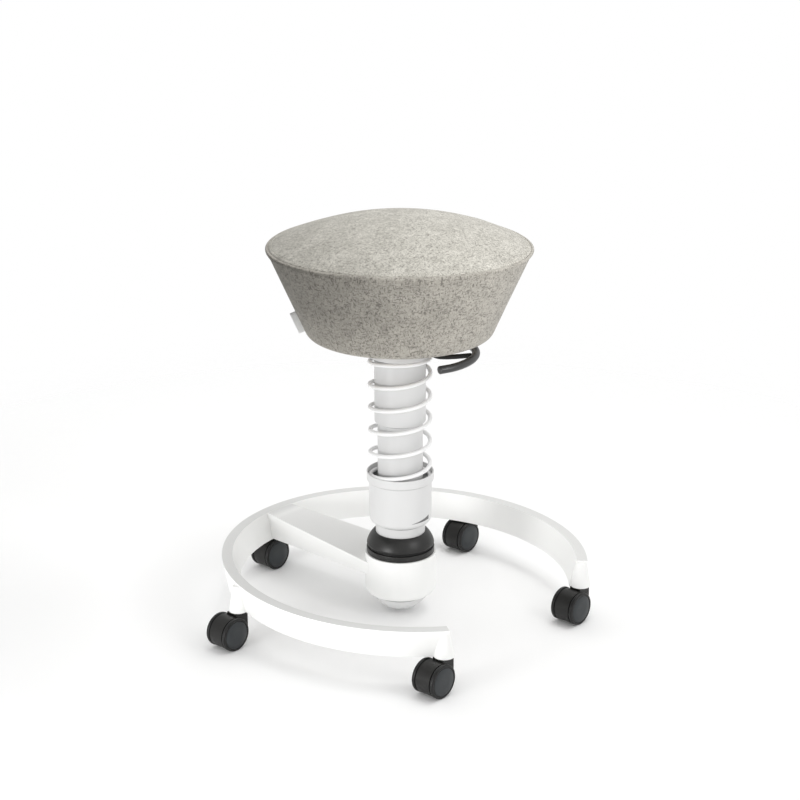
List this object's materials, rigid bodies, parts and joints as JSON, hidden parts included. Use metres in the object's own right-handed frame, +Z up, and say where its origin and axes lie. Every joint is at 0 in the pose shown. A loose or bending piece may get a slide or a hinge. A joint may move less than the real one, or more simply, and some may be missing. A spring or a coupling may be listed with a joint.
{
  "type": "wobble stool",
  "caption": "Active stool with a round felt cushion on a sprung telescopic column that tilts on a rubber joint, over an open C-shaped foot ring on swivel castors.",
  "frame": {"origin": "on the floor, at the axis of the column", "axes": "+Z up along the column; +Y from the column along the arm to the foot ring; the ring's opening faces -Y; the castors trail towards -X"},
  "size_m": [0.5736, 0.5348, 0.6263],
  "materials": {
    "felt": "pale grey mottled wool felt with fine darker fibres",
    "plywood": "unlacquered beech plywood",
    "black_steel": "black powder coat, satin",
    "zinc_steel": "bright zinc plating",
    "chromed_steel": "ground and hard chromed",
    "bare_steel": "drawn steel, oiled",
    "white_steel": "white powder coat, semi-gloss",
    "white_spring": "white powder coat, semi-gloss",
    "white_casting": "die-cast aluminium under a white satin powder coat",
    "white_plastic": "white moulded plastic, satin",
    "dark_plastic": "dark sliding-bush plastic",
    "black_plastic": "black moulded plastic, satin",
    "wheel_plastic": "black wheel plastic with a soft tread, slightly bluish flat faces",
    "black_rubber": "black moulded rubber, satin"
  },
  "bodies": {
    "base": {"foot_ring": "white_casting", "pressure_plate": "zinc_steel", "rubber_bush": "black_rubber", "rubber_lip": "black_rubber"},
    "knob": {"adjuster_knob": "white_plastic"},
    "tilt_carrier": {"joint_ring": "black_steel", "rubber_dome": "black_rubber"},
    "column": {"column_tube": "white_steel", "joint_core": "bare_steel", "upper_bush": "dark_plastic", "lower_bush": "dark_plastic", "coil_spring": "white_spring"},
    "cup": {"spring_cup": "white_plastic", "spring_seat": "zinc_steel"},
    "strut": {"upper_tube": "white_steel", "spring_retainer": "white_steel", "guide_tube": "bare_steel", "gas_bush": "dark_plastic"},
    "rod": {"piston_rod": "chromed_steel", "thrust_bearing": "zinc_steel", "rod_clip": "zinc_steel"},
    "seat": {"gas_cylinder": "black_steel", "seat_bracket": "black_steel", "seat_board": "plywood", "seat_cushion": "felt", "bracket_screws": "zinc_steel"},
    "lever": {"lever_shaft": "black_steel", "lever_bar": "black_plastic", "lever_grip": "black_plastic"},
    "pin": {"release_pin": "zinc_steel"},
    "back_castor": {"back_castor_stem": "zinc_steel", "back_castor_hood": "black_plastic", "back_castor_axle": "zinc_steel"},
    "back_left_wheel": {"back_castor_left_wheel": "wheel_plastic"},
    "back_right_wheel": {"back_castor_right_wheel": "wheel_plastic"},
    "left_castor": {"left_castor_stem": "zinc_steel", "left_castor_hood": "black_plastic", "left_castor_axle": "zinc_steel"},
    "left_left_wheel": {"left_castor_left_wheel": "wheel_plastic"},
    "left_right_wheel": {"left_castor_right_wheel": "wheel_plastic"},
    "front_left_castor": {"front_left_castor_stem": "zinc_steel", "front_left_castor_hood": "black_plastic", "front_left_castor_axle": "zinc_steel"},
    "front_left_left_wheel": {"front_left_castor_left_wheel": "wheel_plastic"},
    "front_left_right_wheel": {"front_left_castor_right_wheel": "wheel_plastic"},
    "front_right_castor": {"front_right_castor_stem": "zinc_steel", "front_right_castor_hood": "black_plastic", "front_right_castor_axle": "zinc_steel"},
    "front_right_left_wheel": {"front_right_castor_left_wheel": "wheel_plastic"},
    "front_right_right_wheel": {"front_right_castor_right_wheel": "wheel_plastic"},
    "right_castor": {"right_castor_stem": "zinc_steel", "right_castor_hood": "black_plastic", "right_castor_axle": "zinc_steel"},
    "right_left_wheel": {"right_castor_left_wheel": "wheel_plastic"},
    "right_right_wheel": {"right_castor_right_wheel": "wheel_plastic"}
  },
  "joints": [
    {"name": "knob_turn", "type": "hinge", "parent": "base", "child": "knob", "pos_m": [0, 0, 0.03], "axis": [0, 0, 1], "range_deg": [0, 720]},
    {"name": "tilt_side", "type": "hinge", "parent": "base", "child": "tilt_carrier", "pos_m": [0, 0, 0.098], "axis": [1, 0, 0], "range_deg": [-8, 8], "stiffness_Nm_per_rad": 300, "deforming": ["rubber_lip", "rubber_bush"]},
    {"name": "tilt_fore", "type": "hinge", "parent": "tilt_carrier", "child": "column", "pos_m": [0, 0, 0.098], "axis": [0, 1, 0], "range_deg": [-8, 8], "stiffness_Nm_per_rad": 300, "deforming": ["rubber_dome"]},
    {"name": "cup_turn", "type": "hinge", "parent": "column", "child": "cup", "pos_m": [0, 0, 0.19], "axis": [0, 0, 1], "range_deg": [0, 360]},
    {"name": "bounce", "type": "slide", "parent": "column", "child": "strut", "axis": [0, 0, 1], "range_m": [-0.045, 0], "stiffness_N_per_m": 14000, "springref_m": 0.015, "deforming": ["coil_spring"]},
    {"name": "seat_swivel", "type": "hinge", "parent": "strut", "child": "rod", "pos_m": [0, 0, 0.2], "axis": [0, 0, 1], "continuous": true},
    {"name": "seat_lift", "type": "slide", "parent": "rod", "child": "seat", "axis": [0, 0, 1], "range_m": [0, 0.11]},
    {"name": "lever_pull", "type": "hinge", "parent": "seat", "child": "lever", "pos_m": [0.01673, -0.01858, 0.452], "axis": [-0.7431, -0.6691, 0], "range_deg": [0, 9], "stiffness_Nm_per_rad": 1.5, "springref_deg": -14.32},
    {"name": "pin_press", "type": "slide", "parent": "seat", "child": "pin", "axis": [0, 0, -1], "range_m": [0, 0.0046]},
    {"name": "back_castor_swivel", "type": "hinge", "parent": "base", "child": "back_castor", "pos_m": [0, 0.2667, 0.05], "axis": [0, 0, 1], "continuous": true},
    {"name": "back_left_wheel_spin", "type": "hinge", "parent": "back_castor", "child": "back_left_wheel", "pos_m": [-0.023, 0.2667, 0.0255], "axis": [0, 1, 0], "continuous": true},
    {"name": "back_right_wheel_spin", "type": "hinge", "parent": "back_castor", "child": "back_right_wheel", "pos_m": [-0.023, 0.2667, 0.0255], "axis": [0, 1, 0], "continuous": true},
    {"name": "left_castor_swivel", "type": "hinge", "parent": "base", "child": "left_castor", "pos_m": [-0.25139, 0.10031, 0.05], "axis": [0, 0, 1], "continuous": true},
    {"name": "left_left_wheel_spin", "type": "hinge", "parent": "left_castor", "child": "left_left_wheel", "pos_m": [-0.27439, 0.10031, 0.0255], "axis": [0, 1, 0], "continuous": true},
    {"name": "left_right_wheel_spin", "type": "hinge", "parent": "left_castor", "child": "left_right_wheel", "pos_m": [-0.27439, 0.10031, 0.0255], "axis": [0, 1, 0], "continuous": true},
    {"name": "front_left_castor_swivel", "type": "hinge", "parent": "base", "child": "front_left_castor", "pos_m": [-0.16052, -0.22734, 0.05], "axis": [0, 0, 1], "continuous": true},
    {"name": "front_left_left_wheel_spin", "type": "hinge", "parent": "front_left_castor", "child": "front_left_left_wheel", "pos_m": [-0.18352, -0.22734, 0.0255], "axis": [0, 1, 0], "continuous": true},
    {"name": "front_left_right_wheel_spin", "type": "hinge", "parent": "front_left_castor", "child": "front_left_right_wheel", "pos_m": [-0.18352, -0.22734, 0.0255], "axis": [0, 1, 0], "continuous": true},
    {"name": "front_right_castor_swivel", "type": "hinge", "parent": "base", "child": "front_right_castor", "pos_m": [0.16052, -0.22734, 0.05], "axis": [0, 0, 1], "continuous": true},
    {"name": "front_right_left_wheel_spin", "type": "hinge", "parent": "front_right_castor", "child": "front_right_left_wheel", "pos_m": [0.13752, -0.22734, 0.0255], "axis": [0, 1, 0], "continuous": true},
    {"name": "front_right_right_wheel_spin", "type": "hinge", "parent": "front_right_castor", "child": "front_right_right_wheel", "pos_m": [0.13752, -0.22734, 0.0255], "axis": [0, 1, 0], "continuous": true},
    {"name": "right_castor_swivel", "type": "hinge", "parent": "base", "child": "right_castor", "pos_m": [0.25973, 0.07799, 0.05], "axis": [0, 0, 1], "continuous": true},
    {"name": "right_left_wheel_spin", "type": "hinge", "parent": "right_castor", "child": "right_left_wheel", "pos_m": [0.23673, 0.07799, 0.0255], "axis": [0, 1, 0], "continuous": true},
    {"name": "right_right_wheel_spin", "type": "hinge", "parent": "right_castor", "child": "right_right_wheel", "pos_m": [0.23673, 0.07799, 0.0255], "axis": [0, 1, 0], "continuous": true}
  ],
  "couplings": [
    {"joint": "pin_press", "follows": "lever_pull", "m_per_rad": 0.029}
  ]
}
